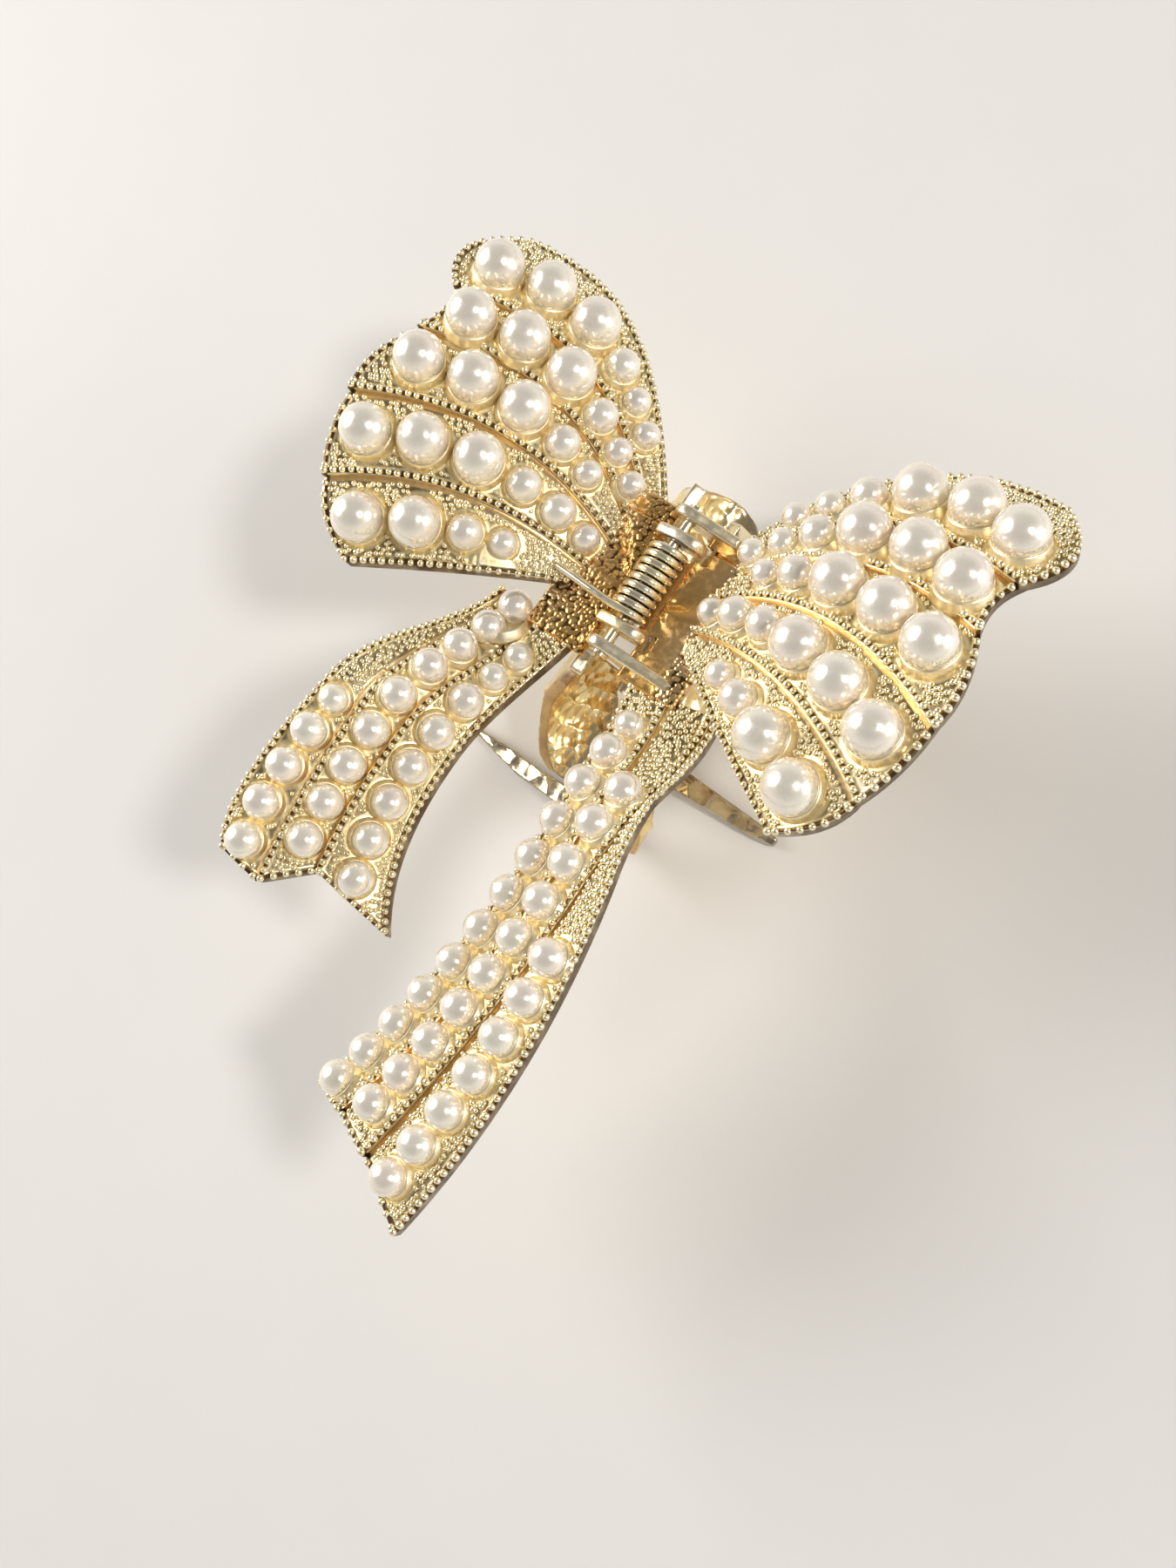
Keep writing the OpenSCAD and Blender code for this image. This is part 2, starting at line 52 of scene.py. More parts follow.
class Wire:  # one output socket; arithmetic on it adds Math nodes
    def __init__(self, finish, socket):
        self.finish = finish
        self.socket = socket

    def math(self, operation, first, second):
        return self.finish.node("ShaderNodeMath", {"operation": operation}, {0: first, 1: second})

    def __add__(self, other):
        return self.math("ADD", self, other)

    def __sub__(self, other):
        return self.math("SUBTRACT", self, other)

    def __rsub__(self, other):
        return self.math("SUBTRACT", other, self)

    def __mul__(self, other):
        return self.math("MULTIPLY", self, other)

    __radd__ = __add__
    __rmul__ = __mul__


class Finish:  # a material or a world, and the nodes that feed its shader
    def __init__(self, owner, shader, fixed):
        self.owner = owner
        owner.use_nodes = True
        self.tree = owner.node_tree
        self.shader = self.tree.nodes[shader]
        for socket, value in fixed.items():
            self.shader.inputs[socket].default_value = value

    def node(self, kind, settings=None, sockets=None, out=0):
        made = self.tree.nodes.new(kind)
        for key, value in (settings or {}).items():
            setattr(made, key, value)
        for key, value in (sockets or {}).items():
            socket = made.inputs[key]
            if isinstance(value, Wire):
                self.tree.links.new(value.socket, socket)
            elif socket.type == "RGBA":
                socket.default_value = (*value, 1)
            else:
                socket.default_value = value
        return Wire(self, made.outputs[out])

    def feed(self, socket, value):
        self.tree.links.new(value.socket, self.shader.inputs[socket])

    def noise(self, size, detail):  # size of one blotch in mm
        place = self.node("ShaderNodeTexCoord", out="Object")
        return self.node("ShaderNodeTexNoise", None, {
            "Vector": place, "Scale": 1 / (size * mm), "Detail": detail})

    def mark(self, name):  # a number that the mesh carries at each of its points
        return self.node("ShaderNodeAttribute", {"attribute_name": name}, out="Fac")

    def step(self, value, low, high):  # 0 below low, 1 above high, smooth between
        return self.node("ShaderNodeMapRange", {"interpolation_type": "SMOOTHSTEP"}, {
            "Value": value, "From Min": low, "From Max": high})

    def mix(self, factor, first, second):  # sockets 6, 7 and output 2 are the node's colours
        return self.node("ShaderNodeMix", {"data_type": "RGBA"}, {0: factor, 6: first, 7: second}, out=2)

    def bump(self, height, distance):
        self.feed("Normal", self.node("ShaderNodeBump", None, {"Height": height, "Distance": distance * mm}))


def principled(name, fixed):
    return Finish(bpy.data.materials.new(name), "Principled BSDF", fixed)


goldLook = {
    "metallic": 0.88,  # a lacquered plating, not bare metal
    "ior": 1.6,
    "pale": (1.0, 0.89, 0.60),
    "warm": (1.0, 0.83, 0.50),
    "cream": (1.0, 0.86, 0.57),  # the pearls' cups
    "paintedShadeColour": (0.12, 0.065, 0.022),  # painted shade in the hollows, under bead rows, between granules and down the sides
    "fold": (0.82, 0.58, 0.28),  # the grooves between pleats
    "brown": (0.94, 0.68, 0.37),  # the root plates
    "amber": (0.74, 0.42, 0.12),  # their inner edges, and the jaws' cut edges
    "leaf": (0.98, 0.80, 0.42),  # the jaws' hammered faces, where the yellow is partly painted sunlight, and a ring round each pearl
    "silver": (0.84, 0.76, 0.60),  # pale wear on jaws and wire
    "shadeLevel": 0.55,  # how evenly the painted shade darkens: 0 is patchy
    "satin": 0.09,  # how much duller the brushed lugs are
    "polish": 0.07,  # how far the smoothest spots are below a gold's roughness
    "wear": 0.12,  # and the dullest above it
    "blotch": 5.0,  # size of the pale and warm patches
    "shadePatch": 2.6,  # and of the patches of painted shade
    "fine": (0.35, 0.3),  # a second grain on the first: its size and height as shares
}


def castGold(name, pale, warm, roughness, grainSize, grainDepth):  # one gold, varied by blotches and grain
    gold = principled(name, {"Metallic": goldLook["metallic"], "IOR": goldLook["ior"]})
    blotch = gold.noise(goldLook["blotch"], 3)
    grain = gold.noise(grainSize, 3)
    colour = gold.mix(gold.step(blotch, 0.35, 0.7), pale, warm)
    colour = gold.mix(gold.mark("leaf"), colour, goldLook["leaf"])
    colour = gold.mix(gold.mark("amber"), colour, goldLook["amber"])
    colour = gold.mix(gold.mark("fold"), colour, goldLook["fold"])
    # painted shade: where the mesh's shade mark is high, the colour darkens towards a shade brown
    shadeLevel = gold.mark("pit") * (goldLook["shadeLevel"] + gold.noise(goldLook["shadePatch"], 2))
    colour = gold.mix(gold.step(shadeLevel, 0.1, 0.95), colour, goldLook["paintedShadeColour"])
    gold.feed("Base Color", colour)
    worn = gold.step(grain, 0.3, 0.75) * (goldLook["polish"] + goldLook["wear"])
    gold.feed("Roughness", roughness - goldLook["polish"] + worn + gold.mark("satin") * goldLook["satin"])
    fineSize, fineHeight = goldLook["fine"]
    gold.bump(grain + gold.noise(grainSize * fineSize, 1) * fineHeight, grainDepth)
    return gold.owner


faceGold = castGold("face gold", goldLook["pale"], goldLook["warm"], 0.34, 0.5, 0.012)
beadGold = castGold("bead gold", goldLook["pale"], goldLook["pale"], 0.20, 0.6, 0.004)
cupGold = castGold("cup gold", goldLook["cream"], goldLook["cream"], 0.37, 0.9, 0.006)
rootGold = castGold("root gold", goldLook["brown"], goldLook["amber"], 0.21, 0.7, 0.014)
jawGold = castGold("jaw gold", goldLook["silver"], goldLook["warm"], 0.17, 1.2, 0.012)
wireGold = castGold("wire gold", goldLook["silver"], goldLook["pale"], 0.13, 1.5, 0.003)

pearlLook = {
    "ior": 1.6,
    "cream": (1.0, 0.93, 0.79),
    "rose": (0.99, 0.89, 0.77),
    "metallic": 0.52,  # the mirror-like part of the lustre
    "roughness": 0.22,
    "polish": 0.05,  # as for the golds
    "wear": 0.08,
    "cloud": 4.5,  # size of the cream and rose patches
    "skin": (0.8, 0.008),  # size and depth of the fine unevenness
}


def pearlFinish():
    pearl = principled("pearl lustre", {
        "Subsurface Weight": 0.12, "Subsurface Radius": (0.9, 0.7, 0.5), "Subsurface Scale": 1.5 * mm,
        "Metallic": pearlLook["metallic"], "IOR": pearlLook["ior"],
        "Coat Weight": 1.0, "Coat Roughness": 0.03, "Coat IOR": pearlLook["ior"]})
    skinSize, skinDepth = pearlLook["skin"]
    cloud = pearl.noise(pearlLook["cloud"], 1)
    skin = pearl.noise(skinSize, 3)
    pearl.feed("Base Color", pearl.mix(pearl.step(cloud, 0.35, 0.65), pearlLook["cream"], pearlLook["rose"]))
    worn = pearl.step(skin, 0.3, 0.8) * (pearlLook["polish"] + pearlLook["wear"])
    pearl.feed("Roughness", pearlLook["roughness"] - pearlLook["polish"] + worn)
    pearl.bump(skin, skinDepth)
    return pearl.owner


pearlLustre = pearlFinish()
print("finishes made")


def unit(v):
    return v / np.linalg.norm(v, axis=-1, keepdims=True)


def setMarks(mesh, marks):  # numbers at the points, which the golds read with mark()
    for name, values in marks.items():
        layer = mesh.attributes.new(name, "FLOAT", "POINT")
        layer.data.foreach_set("value", np.asarray(values, np.float32))


def makePiece(name, points, faces, material, body, slotName, marks=None, sharp=55):
    mesh = bpy.data.meshes.new(name)
    mesh.from_pydata(((np.asarray(points) + hinge) * mm).tolist(), [], faces)
    mesh.polygons.foreach_set("use_smooth", [True] * len(mesh.polygons))
    mesh.update()
    if sharp:
        mesh.set_sharp_from_angle(angle=math.radians(sharp))
    setMarks(mesh, marks or {})
    mesh.materials.append(material)
    piece = bpy.data.objects.new(name, mesh)
    bpy.context.scene.collection.objects.link(piece)
    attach(piece, body)
    return piece


def smoothStep(value, low, high):
    x = np.clip((value - low) / (high - low), 0, 1)
    return x * x * (3 - 2 * x)


jitter = rng.random((64, 64, 2))  # where each pebble sits in its cell


def pebbles(u, v, size):  # domes of one size packed at random on a plane
    cells = len(jitter)
    nearest = np.full(u.shape, np.inf)
    cu, cv = np.floor(u / size).astype(int), np.floor(v / size).astype(int)
    for du in (-1, 0, 1):
        for dv in (-1, 0, 1):
            spot = jitter[(cu + du) % cells, (cv + dv) % cells]
            distance = np.hypot((cu + du + spot[..., 0]) - u / size, (cv + dv + spot[..., 1]) - v / size)
            nearest = np.minimum(nearest, distance)
    return 1 - smoothStep(nearest, 0.1, 0.75)


wing = {  # each fold is a curve of three points, in X and Y; the first is nearest the tails
    "roots": np.array([[9.3, -5.1], [7, -2.4], [6.8, 1.7], [6.5, 4.5], [6.8, 7], [5.7, 9.8]]),
    "bends": np.array([[18.9, -11.5], [22.5, -0.7], [21.9, 9], [19.4, 16.6], [18.6, 23.2], [20, 33]]),
    "tips": np.array([[30.6, -17.9], [37.4, -11], [40, -0.9], [38.2, 10.1], [38.4, 16.9], [37.3, 28.6]]),
    "bow": [1.2, 0.6, 1.1, -0.8, 3.6],  # how far each pleat's outer edge bulges
    "root": (6, -1),  # X and Z where the arch springs
    "crest": (46.4, -0.4),  # X and Y of its highest point
    "archR": 58,  # along the wing
    "drapeR": 50,  # and across it
    "lift": 0.00028,  # a curl of the tip
    "liftX": 25,
    "step": 0.7,  # height from one pleat to the next
    "stepRoot": 0.3,  # share of it at the root
    "stepGrow": 0.7,  # and how much that grows to the tip
}
tail = {
    "roots": [-10.3, -10.3, -9.5, -9.5],  # Y where each fold starts
    "folds": [  # how far out each fold reaches, the Y where it does, and its bend
        (7.6, -34.4, 0.0052), (13, -35.2, 0.0052), (17.5, -34.2, 0.0032), (23.7, -51, 0.0042)],
    "narrowest": 0.8,
    "rootZ": -1.7,
    "crestZ": 1.8,
    "crestY": 30,
    "rise": (5, -0.66),  # of the crest across the folds
    "droop": 0.0022,  # past the crest
    "step": 0.7,
    "stepRoot": 0.2,
    "stepGrow": 0.5,
    # ends is the Y where each fold ends; kick flicks the inner end out, waist narrows the root of the outer
    # pleat and round takes its outer corner off
    "left": {"ends": [-51.7, -49.8, -54.6, -53.6], "kick": 3.9, "waist": 0, "round": 2.4},
    "right": {"ends": [-70.4, -70.3, -71.5, -75.5], "kick": 0, "waist": 3.6, "round": 0},
}


def wingFold(i, t):  # t runs from the root, 0, to the tip, 1
    t = np.asarray(t, float)[..., None]
    return wing["roots"][i] * (1 - t) ** 2 + wing["bends"][i] * (2 * t * (1 - t)) + wing["tips"][i] * t * t


def wingPoint(k, t, s):  # s runs across pleat k, from fold k to the next
    t, s = np.broadcast_arrays(np.asarray(t, float), np.asarray(s, float))
    out = unit(wingFold(k, 1) + wingFold(k + 1, 1) - wingFold(k, 0.6) - wingFold(k + 1, 0.6))
    bulge = wing["bow"][k] * 4 * s * (1 - s) * t ** 3
    p = wingFold(k, t) * (1 - s[..., None]) + wingFold(k + 1, t) * s[..., None] + out * bulge[..., None]
    (rootX, rootZ), (crestX, crestY) = wing["root"], wing["crest"]
    crestZ = rootZ + (crestX - rootX) ** 2 / (2 * wing["archR"])
    z = (crestZ - (p[..., 0] - crestX) ** 2 / (2 * wing["archR"])
         - (p[..., 1] - crestY) ** 2 / (2 * wing["drapeR"])
         + wing["lift"] * (p[..., 0] - wing["liftX"]) ** 3
         + wing["step"] * (0.5 - s) * (wing["stepRoot"] + wing["stepGrow"] * t))
    return np.concatenate([p, z[..., None]], -1)


def tailFold(i, y):
    x, widest, bend = tail["folds"][i]
    return x - bend * (y - widest) ** 2


def tailPoint(side, k, t, s):
    t, s = np.broadcast_arrays(np.asarray(t, float), np.asarray(s, float))
    shape = tail[side]
    start = tail["roots"][k] * (1 - s) + tail["roots"][k + 1] * s
    end = shape["ends"][k] * (1 - s) + shape["ends"][k + 1] * s
    y = start * (1 - t) + end * t
    kick = shape["kick"] * (1 - s) * t ** 6 if k == 0 else 0
    waist = shape["waist"] * (1 - t) ** 2 + shape["round"] * t ** 12 if k == 2 else 0
    outer = np.maximum(tailFold(k + 1, y) - waist, tailFold(k, y) + tail["narrowest"])
    x = tailFold(k, y) * (1 - s) + outer * s - kick
    across = k + s
    top = tail["crestZ"] + tail["rise"][0] * across + tail["rise"][1] * across ** 2
    rootY = tail["roots"][0]
    swell = (1 - np.cos(np.pi * (rootY - y) / (rootY + tail["crestY"]))) / 2
    z = np.where(y > -tail["crestY"], tail["rootZ"] * (1 - swell) + top * swell,
                 top - tail["droop"] * (y + tail["crestY"]) ** 2)
    z = z + tail["step"] * (s - 0.5) * (tail["stepRoot"] + tail["stepGrow"] * t)
    return np.stack([x, y, z], -1)


def normalAt(pointAt, t, s):
    nudge = 0.004
    along = pointAt(t + nudge, s) - pointAt(t - nudge, s)
    across = pointAt(t, s + nudge) - pointAt(t, s - nudge)
    return unit(np.cross(along, across))


def pearlsOf(node):  # centre, radius and outward direction of each pearl in a node
    build = bmesh.new()
    build.from_mesh(frame["nodes"][node].data)
    bmesh.ops.remove_doubles(build, verts=build.verts, dist=1e-6)
    build.faces.index_update()
    build.faces.ensure_lookup_table()
    found, seen = [], set()
    for start in build.verts:
        if start in seen:
            continue
        island, queue = [], [start]
        seen.add(start)
        while queue:
            vert = queue.pop()
            island.append(vert)
            for edge in vert.link_edges:
                other = edge.other_vert(vert)
                if other not in seen:
                    seen.add(other)
                    queue.append(other)
        co = np.array([v.co for v in island]) / mm
        solved = np.linalg.lstsq(np.c_[2 * co, np.ones(len(co))], (co ** 2).sum(1), rcond=None)[0]
        centre = solved[:3]
        radius = math.sqrt(solved[3] + centre @ centre)
        faces = [build.faces[i] for i in sorted({f.index for v in island for f in v.link_faces})]
        areas = np.array([f.calc_area() for f in faces])
        middles = np.array([f.calc_center_median() for f in faces]) / mm
        outward = areas @ middles / areas.sum() - centre  # the flat back pulls the skin's middle off centre
        found.append((centre - hinge, radius, unit(outward)))
    build.free()
    return found


def onHalf(half, points, faces):  # a shape is drawn for the right half, and mirrored for the left
    return points * mirrors[half], faces if half == "right" else [f[::-1] for f in faces]


def coat(node, material):  # a new finish for one of the frame's own solids
    data = frame["nodes"][node].data
    data.materials.clear()
    data.materials.append(material)


halves = {"left": "left_half", "right": "right_half"}  # the body that each half's pieces ride on
mirrors = {"left": np.array([-1, 1, 1]), "right": np.array([1, 1, 1])}
pearls = {}
for half in halves:
    names = sorted(n for n in frame["nodes"] if n.startswith(half) and "pearls" in n)
    pearls[half] = [pearl for n in names for pearl in pearlsOf(n)]
    for n in names:
        coat(n, pearlLustre)
    print(half, "half has", len(pearls[half]), "pearls")


face = {
    "spacing": 0.22,  # distance between mesh points
    "lift": 0.1,  # above the cast plate
    "depth": 1.66,  # from the cast surface to the plain back
    "backFloor": (-2.45, 10.6, 9.5),  # lowest back beside the hinge, and how far that reaches in X and Y
    "overhang": 0.1,
    "ridge": 0.14,
    "ridgeWidth": 0.95,  # under a row of beads between two pleats
    "rimWidth": 0.66,  # and under the row that follows the outline
    "groove": 0.16,
    "grooveWidth": 0.55,
    "grooveSides": (0.5, 1.2),  # where its side falls and ends, as shares of that width
    "halo": 0.7,  # smooth gold round each pearl
    "haloEdge": (-0.3, 0.2),  # round the halo's edge, where the granules come in
    "ringInside": (-0.8, -0.1),  # the warm ring comes in here
    "ringOutside": (0, 1.2),  # and goes out here
    "fillet": 0.5,  # how far that gold climbs the pearl
    "climbInside": 0.5,  # and how far inside the pearl's edge it is highest
    "pearlReach": 3,  # points further than this from a pearl aren't shaped by it
    "beadShade": 0.95,  # painted shade under the rows of beads
    "beadShadeFrom": (0.2, 0.6),  # heights of the ridge between which it comes in
    "shade": 0.6,  # and between the granules
    "wallShade": 0.75,  # and down the plate's side
    "glow": 0.6,  # warmer gold at the foot of each halo
    "clear": 0.25,  # bare strip beside a row of beads
}
granule = {
    "radius": 0.35,
    "pitch": 0.72,
    "rowPitch": 0.87,  # as a share of the pitch
    "margin": 0.4,  # from the sheet's edges
    "stray": 0.15,
    "spread": 0.2,
    "thin": 0.6,  # there are none where the granulated field fades below this
    "show": 0.3,  # height of its centre above the sheet, as a share of its radius
}


def stripRows(pointAt, firstEdge, lastEdge, raised):
    # points, normals and distances of one pleat; firstEdge and lastEdge say whether s = 0 and s = 1 are
    # outline, and raised says which of the two edges stands high and carries beads
    ts = np.linspace(0, 1, 40)
    length = np.linalg.norm(np.diff(pointAt(ts, 0.5), axis=0), axis=1).sum()
    width = np.linalg.norm(pointAt(ts, 1.0) - pointAt(ts, 0.0), axis=1)
    nT = int(length / face["spacing"])
    nS = max(6, int(width.max() / face["spacing"]))
    t = np.linspace(0, 1 + face["overhang"] / length, nT)
    w = np.interp(t, ts, width)
    s0 = -face["overhang"] / w if firstEdge else np.zeros(nT)
    s1 = 1 + face["overhang"] / w if lastEdge else np.ones(nT)
    s = s0 + (s1 - s0) * np.linspace(0, 1, nS)[:, None]
    tt = np.broadcast_to(t, s.shape)
    p = pointAt(tt, s)
    n = normalAt(pointAt, tt, s)
    distances = (s * w, (1 - s) * w)
    outline = (firstEdge, lastEdge)
    return {"p": p, "n": n, "u": tt * length, "v": distances[0],
            "high": distances[raised], "low": distances[1 - raised], "end": (1 - tt) * length,
            "highWidth": face["rimWidth"] if outline[raised] else face["ridgeWidth"],
            "lowOutline": outline[1 - raised]}


def dressStrip(strip, half):  # raises the bead ridges and the halos of one pleat, and marks where shade is painted on it
    beaded = [(strip["high"], strip["highWidth"]), (strip["end"], face["rimWidth"])]
    groove = 1 - smoothStep(strip["low"], *(face["grooveWidth"] * share for share in face["grooveSides"]))
    if strip["lowOutline"]:
        beaded.append((strip["low"], face["rimWidth"]))
        groove = np.zeros_like(groove)
    ridge = np.maximum.reduce([np.clip(1 - (2 * d / width - 1) ** 2, 0, 1) for d, width in beaded])
    beside = np.minimum.reduce([d - width for d, width in beaded])
    field = smoothStep(beside, 0, face["clear"]) * (1 - groove)
    height = face["lift"] + ridge * face["ridge"] - groove * face["groove"]
    haloed, climb, glow = (np.zeros_like(height) for _ in range(3))
    for centre, radius, direction in pearls[half]:
        fromPearl = strip["p"] - centre * mirrors[half]
        near = np.abs(fromPearl).max(-1) < radius + face["pearlReach"]
        if not near.any():
            continue
        q = fromPearl[near]
        along = q @ (direction * mirrors[half])
        away = np.sqrt(np.maximum((q * q).sum(-1) - along ** 2, 0))
        edge = radius + face["halo"]
        inside = 1 - smoothStep(away, *(edge + d for d in face["haloEdge"]))
        haloed[near] = np.maximum(haloed[near], inside)
        ring = smoothStep(away, *(edge + d for d in face["ringInside"]))
        ring = ring * (1 - smoothStep(away, *(edge + d for d in face["ringOutside"])))
        glow[near] = np.maximum(glow[near], ring)
        climb[near] = np.maximum(climb[near], 1 - smoothStep(away, radius - face["climbInside"], edge))
    height = height + climb ** 2 * face["fillet"]
    strip["base"] = strip["p"]
    strip["p"] = strip["p"] + strip["n"] * height[..., None]
    strip["field"] = field * (1 - haloed)
    # painted shade under the bead rows and between the granules
    underBeads = smoothStep(ridge, *face["beadShadeFrom"]) * face["beadShade"]
    shaded = np.maximum(strip["field"] * face["shade"], underBeads)
    strip["marks"] = {"pit": shaded, "fold": groove, "leaf": glow * face["glow"]}
    return strip


def granuleSpots(strip):  # a loose honeycomb of places between the pearls
    along = strip["u"][0]
    margin, pitch = granule["margin"], granule["pitch"]
    spots = []
    for row, v in enumerate(np.arange(margin, strip["v"].max(), pitch * granule["rowPitch"])):
        for u in np.arange(margin + row % 2 * pitch / 2, along[-1], pitch):
            spot = np.array([u, v]) + rng.uniform(-1, 1, 2) * granule["stray"]
            column = np.abs(along - spot[0]).argmin()
            line = np.abs(strip["v"][:, column] - spot[1]).argmin()
            inside = abs(strip["v"][line, column] - spot[1]) < face["spacing"]
            if inside and strip["field"][line, column] > granule["thin"]:
                rise = strip["n"][line, column] * granule["radius"] * granule["show"]
                spots.append(strip["p"][line, column] + rise)
    return spots


def resample(strip, count):  # the same pleat with another number of points along it
    before = strip["u"].shape[1]
    if before == count:
        return strip
    old = np.linspace(0, 1, before)
    new = np.linspace(0, 1, count)
    for key in ("p", "n", "u", "v", "high", "low", "end"):
        strip[key] = np.apply_along_axis(lambda row: np.interp(new, old, row), 1, strip[key])
    strip["n"] = unit(strip["n"])
    return strip


def sheetMesh(rows, under, coarse=4):
    # a fine top over a coarse back, joined round the edge; also says which back points are on the edge
    nR, nT = rows.shape[:2]
    top = rows.reshape(-1, 3)
    ri = sorted({*range(0, nR, coarse), nR - 1})
    ti = sorted({*range(0, nT, coarse), nT - 1})
    back = under[np.ix_(ri, ti)]
    rim = np.ones(back.shape[:2])
    rim[1:-1, 1:-1] = 0
    base = len(top)

    def at(r, t):
        return r * nT + t

    def low(a, b):
        return base + a * len(ti) + b

    faces = [[at(r, t), at(r, t + 1), at(r + 1, t + 1), at(r + 1, t)]
             for r in range(nR - 1) for t in range(nT - 1)]
    for a in range(len(ri) - 1):
        for b in range(len(ti) - 1):
            faces.append([low(a, b), low(a + 1, b), low(a + 1, b + 1), low(a, b + 1)])
    for b in range(len(ti) - 1):
        span = range(ti[b], ti[b + 1] + 1)
        faces.append([low(0, b), low(0, b + 1)] + [at(0, t) for t in reversed(span)])
        faces.append([at(nR - 1, t) for t in span] + [low(len(ri) - 1, b + 1), low(len(ri) - 1, b)])
    for a in range(len(ri) - 1):
        span = range(ri[a], ri[a + 1] + 1)
        faces.append([at(r, 0) for r in span] + [low(a + 1, 0), low(a, 0)])
        faces.append([low(a, len(ti) - 1), low(a + 1, len(ti) - 1)] + [at(r, nT - 1) for r in reversed(span)])
    return np.concatenate([top, back.reshape(-1, 3)]), faces, rim.ravel()


def bowFace(name, half, pointAts, raised):
    final = len(pointAts) - 1
    strips = [stripRows(pointAt, k == 0, k == final, raised) for k, pointAt in enumerate(pointAts)]
    longest = max(strip["u"].shape[1] for strip in strips)
    strips = [dressStrip(resample(strip, longest), half) for strip in strips]
    rows = np.concatenate([strip["p"] for strip in strips])
    under = np.concatenate([strip["base"] for strip in strips]) - np.array([0, 0, face["depth"]])
    lowest, reachX, reachY = face["backFloor"]
    nearHinge = (under[..., 0] < reachX) & (np.abs(under[..., 1]) < reachY)
    under[..., 2] = np.where(nearHinge, np.maximum(under[..., 2], lowest), under[..., 2])
    points, faces, rim = sheetMesh(rows, under)
    marks = {}
    # painted shade down the plate's side wall and round the back's edge
    for mark, wall in (("pit", face["wallShade"]), ("fold", 0), ("leaf", 0)):
        values = np.concatenate([strip["marks"][mark] for strip in strips])
        values[[0, -1]] = wall
        values[:, [0, -1]] = wall
        marks[mark] = np.concatenate([values.ravel(), rim * wall])
    piece = makePiece(name, *onHalf(half, points, faces), faceGold, halves[half], "gold", marks)
    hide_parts(half + "_bow_plate")
    spots = [spot for strip in strips for spot in granuleSpots(strip)]
    print(name, len(points), "points", len(spots), "granules")
    return spots


def wingStrips():
    return [lambda t, s, k=k: wingPoint(k, t, s) for k in range(5)]


def tailStrips(half):
    return [lambda t, s, k=k: tailPoint(half, k, t, s) for k in range(3)]


granules = {}
for half in halves:
    granules[half] = bowFace(half + "WingFace", half, wingStrips(), 0)
    granules[half] += bowFace(half + "TailFace", half, tailStrips(half), 1)


root = {
    "inner": 2.7,  # X of its inner edge
    "reach": 11.1,  # and of its outer edge
    "near": -11.4,  # Y of its end under the tails
    "farEnd": 10.15,  # and of its other end
    "far": 7.1,  # past this Y the top steps down
    "farSlope": 0.4,  # half the length of that step
    "top": -0.9,
    "farTop": -1.8,
    "bottom": -2.45,
    "spacing": 0.13,
    "clear": 4.25,  # inner edge where the other half's lugs turn past
    "lugY": 6.3,
    "lugHalf": 1.3,
    "drape": 0.5,  # height of the draped folds
    "foldsFrom": (0.5, -1.5),  # they fan out from this X and Y
    "fineFolds": (7, 0.5, 0.6),  # how many to a turn, and how often and how far they wander
    "broadFolds": (4, 1.3),  # how many, and turned by how much
    "foldIn": 1.5,  # they reach their height this far from the edges
    "grain": 0.55,
    "grainShift": 40,  # picks the stretch of the pattern that falls on the plate
    "grainHeight": 0.12,
    "grainFrom": (7.2, 8.8),  # X between which the smooth plate turns grainy
    "grainShade": 0.85,  # painted shade between the grains
    "grainShadeTo": (0.05, 0.5),  # heights of a grain between which it fades
    "bare": (0.45, 0.8),  # fold heights between which the grain is worn away
    "bareShare": 0.9,
    "edgeRound": 0.5,  # the edges fall over this width
    "edgeDrop": 0.45,
    "amber": 0.8,
    "amberFades": (4.5, 11),
    "lipCoil": (2.8, 4.8),  # radius of the lip rolled under the spring, and how far it runs in Y
    "lipLug": (4.3, 7.7),  # and under the other half's lugs
    "lipSlope": 0.4,  # length of the slope between the two
    "lipThick": 0.35,
    "lipTurn": (-66, -14),  # degrees round the pin
}


